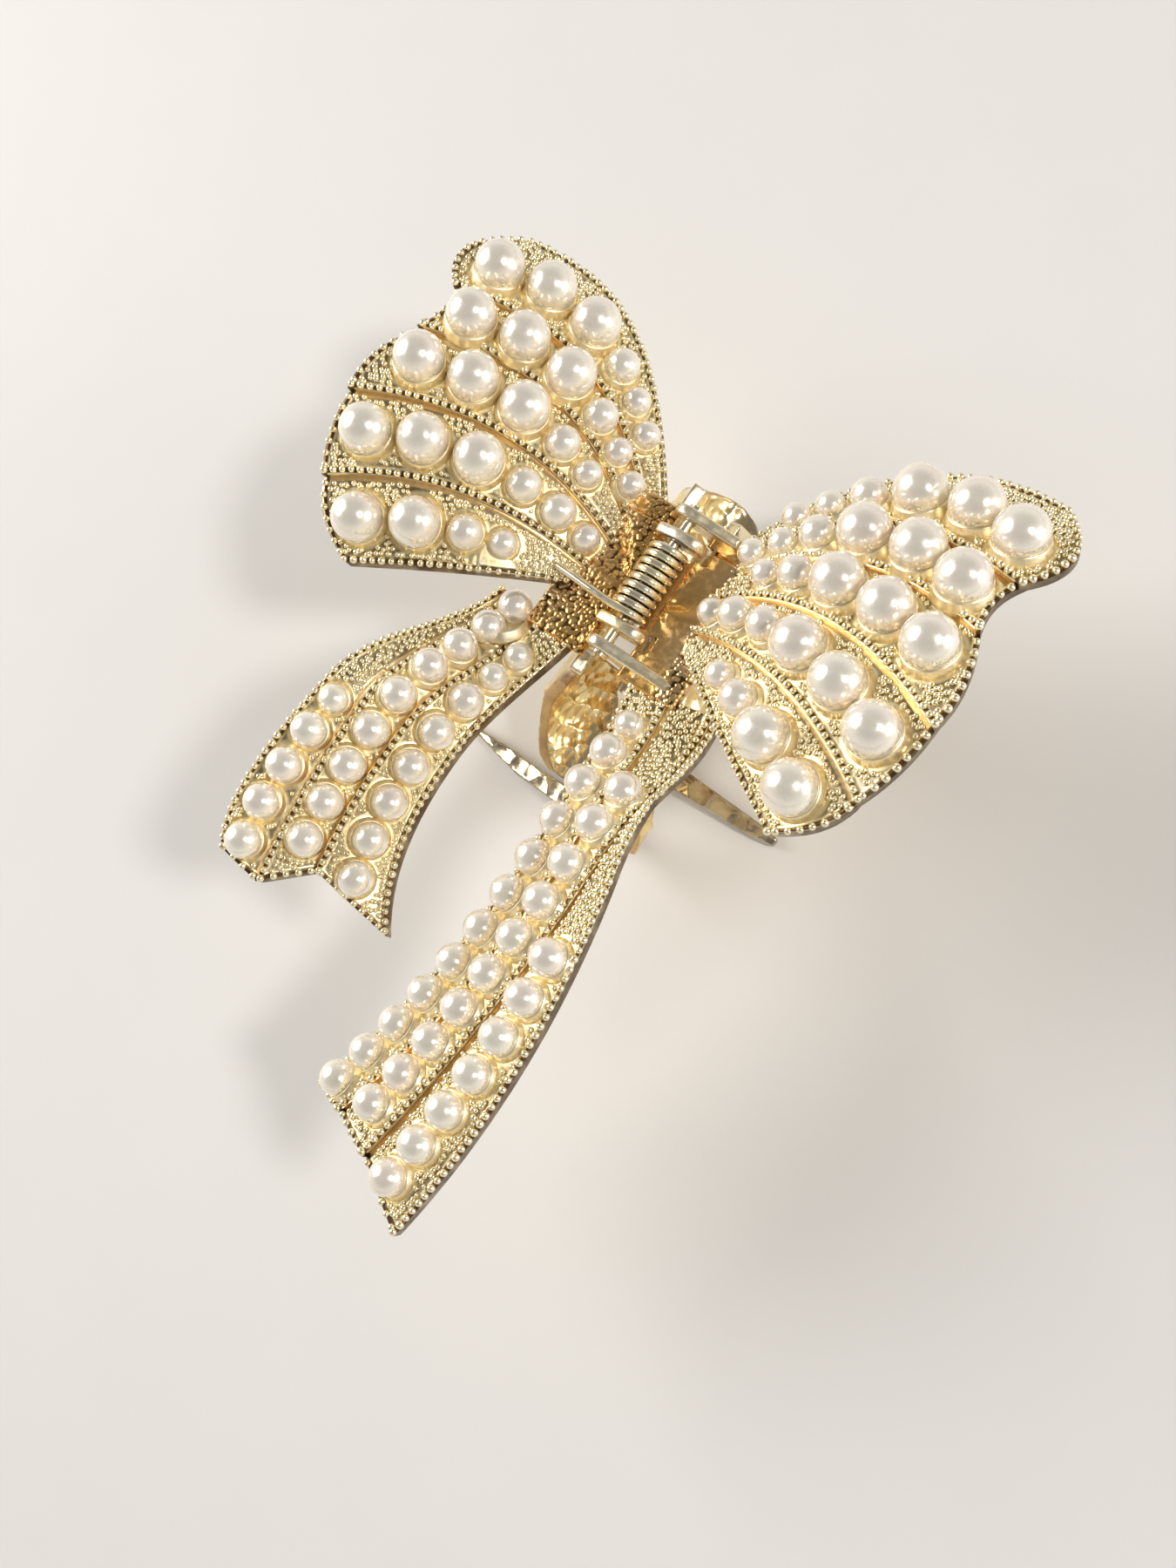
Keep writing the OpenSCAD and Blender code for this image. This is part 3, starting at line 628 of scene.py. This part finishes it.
def rootPlate(half, pebbled):  # pebbled: grains all over and no room for lugs
    y = np.arange(root["near"], root["farEnd"], root["spacing"])
    atLug = np.abs(np.abs(y) - root["lugY"]) < root["lugHalf"]
    inner = np.where(atLug & (not pebbled), root["clear"], root["inner"])
    count = int((root["reach"] - root["inner"]) / root["spacing"])
    x = inner[:, None] + (root["reach"] - inner[:, None]) * np.linspace(0, 1, count)
    yy = np.broadcast_to(y[:, None], x.shape)
    edge = np.minimum.reduce([x - inner[:, None], root["reach"] - x, yy - root["near"], root["farEnd"] - yy])
    stepDown = smoothStep(yy, root["far"] - root["farSlope"], root["far"] + root["farSlope"])
    base = root["top"] + (root["farTop"] - root["top"]) * stepDown
    fromX, fromY = root["foldsFrom"]
    fine, often, wander = root["fineFolds"]
    broad, turned = root["broadFolds"]
    angle = np.arctan2(yy - fromY, x - fromX)
    drape = np.cos(angle * fine + np.sin(x * often) * wander) * 0.5 + np.cos(angle * broad + turned) * 0.5
    dome = pebbles(x + root["grainShift"], yy + root["grainShift"], root["grain"])
    grainy = np.ones_like(x) if pebbled else smoothStep(x, *root["grainFrom"])
    grainy = grainy * (1 - smoothStep(drape, *root["bare"]) * root["bareShare"])
    worn = np.clip(1 - edge / root["edgeRound"], 0, 1) ** 2
    folds = drape * root["drape"] * smoothStep(edge, 0, root["foldIn"])
    z = base + folds + grainy * dome * root["grainHeight"] - worn * root["edgeDrop"]
    rows = np.stack([x, yy, z], -1)
    under = np.stack([x, yy, np.full_like(x, root["bottom"])], -1)
    points, faces, rim = sheetMesh(rows, under)
    # painted shade between the grains
    marks = {"pit": root["grainShade"] * grainy * (1 - smoothStep(dome, *root["grainShadeTo"])),
             "amber": root["amber"] * (1 - smoothStep(x, *root["amberFades"]))}
    marks = {k: np.concatenate([v.ravel(), np.zeros(len(rim))]) for k, v in marks.items()}
    piece = makePiece(half + "RootPlate", *onHalf(half, points, faces), rootGold, halves[half], "gold", marks)
    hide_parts(half + "_bow_plate")


def rootLip(half):  # the plate's inner edge, rolled under the spring and the other half's lugs
    coilRadius, coilReach = root["lipCoil"]
    lugRadius, lugReach = root["lipLug"]
    y = np.arange(-lugReach, lugReach, root["spacing"] * 2)[:, None]
    angle = np.radians(np.linspace(*root["lipTurn"], 24))
    widen = smoothStep(np.abs(y), coilReach, coilReach + root["lipSlope"])
    radius = coilRadius + (lugRadius - coilRadius) * widen
    skins = [np.stack([r * np.cos(angle), y + 0 * angle, r * np.sin(angle)], -1)
             for r in (radius, radius + root["lipThick"])]
    points, faces, _ = sheetMesh(*skins, coarse=2)
    marks = {"amber": np.full(len(points), root["amber"])}
    makePiece(half + "RootLip", *onHalf(half, points, faces), rootGold, halves[half], "gold", marks)


rootPlate("left", True)
rootPlate("right", False)
rootLip("right")
print("root plates made")


cup = {
    "rim": 0.40,  # rim height as a share of the pearl's radius
    "floor": 0.65,  # how far its floor is below the pearl's centre, as a share of the radius
    "profile": [  # distance out from the pearl, height as a share of the rim's, and more height
        (-0.35, 0, 0), (-0.08, 0.8, 0), (0, 1, 0), (0.10, 1, 0.02), (0.2, 0.8, 0),
        (0.3, 0.5, 0), (0.5, 0, 0.1), (0.5, 0, -0.3), (-0.35, 0, -0.3)],
    "sides": 40,
}


def ringMesh(centre, direction, profile, sides):
    # a lathed ring: profile is [(radius, height)], height along the direction
    d = unit(direction)
    a = unit(np.cross(d, [0.3, 1, 0.1]))
    b = np.cross(d, a)
    turn = np.linspace(0, 2 * np.pi, sides, endpoint=False)
    points = [centre + r * (np.cos(w) * a + np.sin(w) * b) + h * d for r, h in profile for w in turn]
    faces = []
    for i in range(len(profile)):
        low, high = i * sides, (i + 1) % len(profile) * sides
        faces += [[high + j, high + (j + 1) % sides, low + (j + 1) % sides, low + j] for j in range(sides)]
    return np.array(points), faces


def joinMeshes(parts):  # several (points, faces) as one
    points, faces, base = [], [], 0
    for p, f in parts:
        points.append(p)
        faces += [[i + base for i in q] for q in f]
        base += len(p)
    return np.concatenate(points), faces


def pearlCups(half):  # a low rim of gold round each pearl
    parts = []
    for centre, r, direction in pearls[half]:
        foot = centre - direction * cup["floor"] * r
        top = cup["rim"] * r
        inner = math.sqrt(r * r - (cup["floor"] * r - top) ** 2)  # the pearl's radius at the rim
        profile = [(inner + out, top * share + more) for out, share, more in cup["profile"]]
        parts.append(ringMesh(foot, direction, profile, cup["sides"]))
    makePiece(half + "PearlCups", *joinMeshes(parts), cupGold, halves[half], "gold", sharp=0)


for half in halves:
    pearlCups(half)
print("pearl cups made")


bead = {
    "radius": 0.45,
    "pitch": 1.08,
    "inset": 0.48,  # from the step between two pleats
    "outlineInset": 0.22,  # and from the outline
    "mostInset": 0.4,  # as a share of a narrow pleat's width
    "endGap": 0.08,  # the row across a pleat's end stops short by this share of its width
    "rise": 0.36,
    "spread": 0.12,
    "stray": 0.03,
}


def beadMesh():  # a ball of radius 1
    build = bmesh.new()
    bmesh.ops.create_icosphere(build, subdivisions=2, radius=1)
    points = np.array([v.co for v in build.verts])
    faces = [[v.index for v in f.verts] for f in build.faces]
    build.free()
    return points, faces


beadPoints, beadFaces = beadMesh()


def beadsAlong(points, normals):  # places at an even pitch along a line on the sheet
    steps = np.r_[0, np.cumsum(np.linalg.norm(np.diff(points, axis=0), axis=1))]
    count = max(2, int(steps[-1] / bead["pitch"]))
    at = np.linspace(0, steps[-1], count)
    p = np.stack([np.interp(at, steps, points[:, i]) for i in range(3)], -1)
    n = unit(np.stack([np.interp(at, steps, normals[:, i]) for i in range(3)], -1))
    return p + n * bead["rise"]


def beadRows(pointAts, raised):  # along the high edge of each pleat, round the outline and across the ends
    t = np.linspace(0.0, 1, 80)
    found = []
    for k, pointAt in enumerate(pointAts):
        width = np.linalg.norm(pointAt(t, 1.0) - pointAt(t, 0.0), axis=1)
        length = np.linalg.norm(np.diff(pointAt(t, 0.5), axis=0), axis=1).sum()
        inset = np.minimum(bead["inset"] / width, bead["mostInset"])
        outline = np.minimum(bead["outlineInset"] / width, bead["mostInset"])
        along = t * (1 - bead["outlineInset"] / length)
        first, last = k == 0, k == len(pointAts) - 1
        if raised == 0:
            edges = [outline if first else inset] + [1 - outline] * last
        else:
            edges = [1 - outline if last else 1 - inset] + [outline] * first
        for s in edges:
            found.append(beadsAlong(pointAt(along, s), normalAt(pointAt, along, s)))
        s = np.linspace(0.5 * inset[-1] + bead["endGap"], 1 - bead["endGap"], 30)
        end = np.full(len(s), 1 - bead["outlineInset"] / length)
        found.append(beadsAlong(pointAt(end, s), normalAt(pointAt, end, s)))
    return np.concatenate(found)


def scatter(name, half, spots, radius, spread):  # one ball at each spot, all in one mesh
    sizes = radius * (1 + rng.uniform(-spread, spread, len(spots)))
    points, faces = joinMeshes([(beadPoints * r + spot, beadFaces) for spot, r in zip(spots, sizes)])
    makePiece(name, *onHalf(half, points, faces), beadGold, halves[half], "gold", sharp=0)


def milgrain(half):
    spots = np.concatenate([beadRows(wingStrips(), 0), beadRows(tailStrips(half), 1)])
    spots = spots + rng.normal(0, bead["stray"], spots.shape)
    print(half, "milgrain", len(spots), "beads")
    scatter(half + "Milgrain", half, spots, bead["radius"], bead["spread"])


for half in halves:
    milgrain(half)
    scatter(half + "Granules", half, granules[half], granule["radius"], granule["spread"])


jaw = {
    "voxel": 0.2,
    "smooth": 16,
    "dimple": 2.4,  # spacing of the hammer marks
    "stray": 0.45,  # as a share of that spacing
    "margin": 4,  # the marks go on this far past the jaw
    "bowl": 0.75,  # radius of a mark, as a share of the spacing too
    "level": 0.6,  # the mark's height where the plate keeps its own surface
    "depth": 0.46,
    "fingers": 0.36,  # share of that depth on the fingers
    "hammered": (6, 10),  # depths below the pin between which the hammering comes in
    "side": (0.2, 0.5),  # slopes between which a face counts as the cut edge
    "palm": (5, 26),  # depths between which the plate is fully hammered and yellow; the yellow is partly the gold's own and partly painted sunlight
    "palmIn": 3,  # it takes this long to come in below the lugs
    "palmOut": 2,  # and this long either way to fade into the fingers
    "edge": 0.8,  # browner gold on the cut edge
    "hollowShade": 0.4,  # painted shade, as amber, in the hollows of the hammer marks
    "hollowShadeTo": (0.25, 0.8),  # heights in a mark between which that fades
    "shadeLevel": (0.5, 20, 28),  # painted shade on the fingers, darker towards the table: how much, and between which depths it comes in
    "edgeShade": 0.4,  # painted shade on the palm's cut edge
    "satin": (3, 6),  # depths between which the brushed lugs end
}


def castCopy(node, name, body):
    # the jaw's own solid, with its facets melted and its faces hammered
    source = frame["nodes"][node]
    mesh = source.data.copy()
    mesh.name = name
    build = bmesh.new()
    build.from_mesh(mesh)
    bmesh.ops.remove_doubles(build, verts=build.verts, dist=1e-6)
    build.to_mesh(mesh)
    build.free()
    piece = bpy.data.objects.new(name, mesh)
    bpy.context.scene.collection.objects.link(piece)
    remesh = piece.modifiers.new("remesh", "REMESH")
    remesh.mode = "VOXEL"
    remesh.voxel_size = jaw["voxel"] * mm
    relax = piece.modifiers.new("relax", "SMOOTH")
    relax.factor = 0.5
    relax.iterations = jaw["smooth"]
    view = bpy.context.evaluated_depsgraph_get()
    made = bpy.data.meshes.new_from_object(piece.evaluated_get(view))
    piece.modifiers.clear()
    piece.data = made
    count = len(made.vertices)
    co = np.zeros(count * 3, np.float32)
    normal = np.zeros(count * 3, np.float32)
    made.vertices.foreach_get("co", co)
    made.vertices.foreach_get("normal", normal)
    co, normal = co.reshape(-1, 3) / mm - hinge, normal.reshape(-1, 3)
    lowest, highest = co.min(0) - jaw["margin"], co.max(0) + jaw["margin"]
    ticks = [np.arange(a, b, jaw["dimple"]) for a, b in zip(lowest, highest)]
    strikes = np.stack(np.meshgrid(*ticks), -1).reshape(-1, 3)
    strikes = strikes + rng.uniform(-jaw["stray"], jaw["stray"], strikes.shape) * jaw["dimple"]
    tree = kdtree.KDTree(len(strikes))
    for i, strike in enumerate(strikes):
        tree.insert(strike, i)
    tree.balance()
    distance = np.array([tree.find(c)[2] for c in co])
    below = -co[:, 2]
    side = smoothStep(np.abs(normal[:, 1]), *jaw["side"])
    palmTop, palmFoot = jaw["palm"]
    palm = smoothStep(below, palmTop, palmTop + jaw["palmIn"])
    palm = palm * (1 - smoothStep(below, palmFoot - jaw["palmOut"], palmFoot + jaw["palmOut"]))
    bowl = np.clip(distance / (jaw["dimple"] * jaw["bowl"]), 0, 1.2) ** 2
    share = jaw["fingers"] + (1 - jaw["fingers"]) * palm
    hammered = smoothStep(below, *jaw["hammered"]) * (1 - side) * share
    co = co + normal * ((bowl - jaw["level"]) * jaw["depth"] * hammered)[:, None]
    co[:, 2] = np.maximum(co[:, 2], -hinge[2])  # the fingers stand on the table
    made.vertices.foreach_set("co", ((co + hinge) * mm).astype(np.float32).ravel())
    made.polygons.foreach_set("use_smooth", [True] * len(made.polygons))
    below = -co[:, 2]
    # painted shade: amber in the hollows of the hammer marks
    hollowShade = palm * (1 - side) * (1 - smoothStep(bowl, *jaw["hollowShadeTo"])) * jaw["hollowShade"]
    # painted shade on the fingers towards the table, and on the palm's cut edge
    shadeLevel, shadeTop, shadeFoot = jaw["shadeLevel"]
    fingers = smoothStep(below, shadeTop, shadeFoot) * (1 - palm)
    # the leaf mark makes the palm yellower: partly the gold's own tone, partly painted sunlight
    setMarks(made, {
        "leaf": palm * (1 - side),
        "amber": np.maximum(palm * side * jaw["edge"], hollowShade),
        "pit": shadeLevel * fingers + palm * side * jaw["edgeShade"],
        "satin": 1 - smoothStep(below, *jaw["satin"])})
    made.update()
    made.materials.clear()
    made.materials.append(jawGold)
    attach(piece, body)
    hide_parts(node)
    print(name, count, "points")


castCopy("left_jaw", "leftJawCasting", "left_half")
castCopy("right_jaw", "rightJawCasting", "right_half")


spring = {
    "wire": 1.0,
    "coil": 5.1,  # across the outside
    "turns": 8.5,
    "gap": 0.1,  # between turns
    "leg": [  # X, and how far in Y and Z from the coil's first turn
        (-10.2, 0.55, -0.4), (-8, 0.4, -0.3), (-5, 0.15, -0.12), (-2.2, -0.05, 0), (-1.2, -0.03, 0)],
    "shade": (0.05, 0.8),  # painted shade between the turns fades between these, towards the outside
    "sides": 12,
    "stepsPerTurn": 28,
}


def tube(path, radius, sides):  # a round wire along a path, closed at both ends
    path = np.asarray(path)
    tangent = unit(np.gradient(path, axis=0))
    side = unit(np.cross(tangent, [0.1, 1, 0.05]))
    other = np.cross(tangent, side)
    turn = np.linspace(0, 2 * np.pi, sides, endpoint=False)
    points = [p + radius * (np.cos(w) * a + np.sin(w) * b)
              for p, a, b in zip(path, side, other) for w in turn]
    last = (len(path) - 1) * sides
    faces = [[i + j, i + sides + j, i + sides + (j + 1) % sides, i + (j + 1) % sides]
             for i in range(0, last, sides) for j in range(sides)]
    faces.append(list(range(sides)))
    faces.append([last + j for j in reversed(range(sides))])
    return np.array(points), faces


def torsionSpring():
    r = (spring["coil"] - spring["wire"]) / 2
    reach = spring["turns"] * (spring["wire"] + spring["gap"]) / 2
    n = int(spring["turns"] * spring["stepsPerTurn"])
    angle = np.pi / 2 - np.arange(n + 1) * 2 * np.pi / spring["stepsPerTurn"]
    coil = np.stack([r * np.cos(angle), -reach + 2 * reach * np.arange(n + 1) / n, r * np.sin(angle)], -1)
    leg = np.array(spring["leg"]) + np.array([0, -reach, r])
    path = np.concatenate([leg, coil])
    points, faces = tube(path, spring["wire"] / 2, spring["sides"])
    # painted shade on the wire's inner side, darkening the grooves between the turns
    around = points - np.repeat(path, spring["sides"], axis=0)
    outward = unit(np.repeat(path * [1, 0, 1], spring["sides"], axis=0))
    facing = (around * outward).sum(1) / (spring["wire"] / 2)
    onCoil = np.arange(len(points)) >= len(leg) * spring["sides"]
    pit = np.where(onCoil, 1 - smoothStep(facing, *spring["shade"]), 0)
    piece = makePiece("springWire", points, faces, wireGold, "left_half", "gold_wire", {"pit": pit}, sharp=60)
    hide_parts("torsion_spring")


torsionSpring()
coat("hinge_pin", wireGold)
print("jaws, spring and pin dressed")


studio = {
    "floor": (0.76, 0.73, 0.69),
    "floorHalf": 2000,
    "cloud": (18, 0.97),  # size and shade of its faint darker patches
    "air": (1, 0.97, 0.93),
    "zenith": 0.20,  # how bright the room is overhead
    "horizon": 0.72,  # and at eye level
    "zenithFrom": 0.9,  # the height, out of 1, where it gets no darker
    "lamps": {  # offset from the hinge, then diameter in metres and power in watts
        "leftPanel": ((-560, -100, 385), 0.55, 4.0),
        "rightPanel": ((615, 280, 175), 0.40, 1.4),
        "key": ((437, 132, 530), 0.10, 1.9),
    },
}


def studioFloor():
    paint = principled("floor", {"Roughness": 0.75})
    pale = studio["floor"]
    cloudSize, cloudShade = studio["cloud"]
    paint.feed("Base Color", paint.mix(paint.noise(cloudSize, 2), pale, tuple(c * cloudShade for c in pale)))
    mesh = bpy.data.meshes.new("floor")
    reach = studio["floorHalf"] * mm
    corners = [(-reach, -reach, 0), (reach, -reach, 0), (reach, reach, 0), (-reach, reach, 0)]
    mesh.from_pydata(corners, [], [(0, 1, 2, 3)])
    mesh.materials.append(paint.owner)
    floor = bpy.data.objects.new("floor", mesh)
    bpy.context.scene.collection.objects.link(floor)


def softbox(name, offset, size, power):
    light = bpy.data.lights.new(name, "AREA")
    light.shape = "DISK"
    light.size = size
    light.energy = power
    lamp = bpy.data.objects.new(name, light)
    lamp.location = Vector((hinge + np.array(offset)) * mm)
    lamp.rotation_euler = (-Vector(offset)).to_track_quat("-Z", "Y").to_euler()
    bpy.context.scene.collection.objects.link(lamp)


studioFloor()
for name, (offset, size, power) in studio["lamps"].items():
    softbox(name, offset, size, power)


def studioWorld():  # soft grey room, paler towards the horizon
    room = Finish(bpy.data.worlds.new("studio"), "Background", {"Color": (*studio["air"], 1)})
    where = room.node("ShaderNodeTexCoord", out="Generated")
    height = room.node("ShaderNodeSeparateXYZ", None, {0: where}, out="Z")
    low = 1 - room.step(height, 0, studio["zenithFrom"])
    room.feed("Strength", studio["zenith"] + (studio["horizon"] - studio["zenith"]) * low)
    bpy.context.scene.world = room.owner


studioWorld()
bpy.context.scene.view_settings.view_transform = "Standard"

camera = {
    "offset": (63.95, -28.81, 150.85),  # from the hinge
    "aim": (8.015, -23.803, 0),  # where it looks, from the hinge too
    "roll": -50.908,  # degrees
    "lens": 32,
    "sensor": 36,
}


def placeCamera():
    lens = bpy.data.cameras.new("camera")
    lens.lens = camera["lens"]
    lens.sensor_width = camera["sensor"]
    lens.clip_start = mm
    viewer = bpy.data.objects.new("camera", lens)
    bpy.context.scene.collection.objects.link(viewer)
    offset = Vector(camera["offset"])
    look = (Vector(camera["aim"]) - offset).to_track_quat("-Z", "Y").to_matrix()
    turn = look @ Matrix.Rotation(math.radians(camera["roll"]), 3, "Z")
    viewer.matrix_world = Matrix.Translation((Vector(hinge) + offset) * mm) @ turn.to_4x4()
    bpy.context.scene.camera = viewer


placeCamera()
print("floor, lights and camera placed")
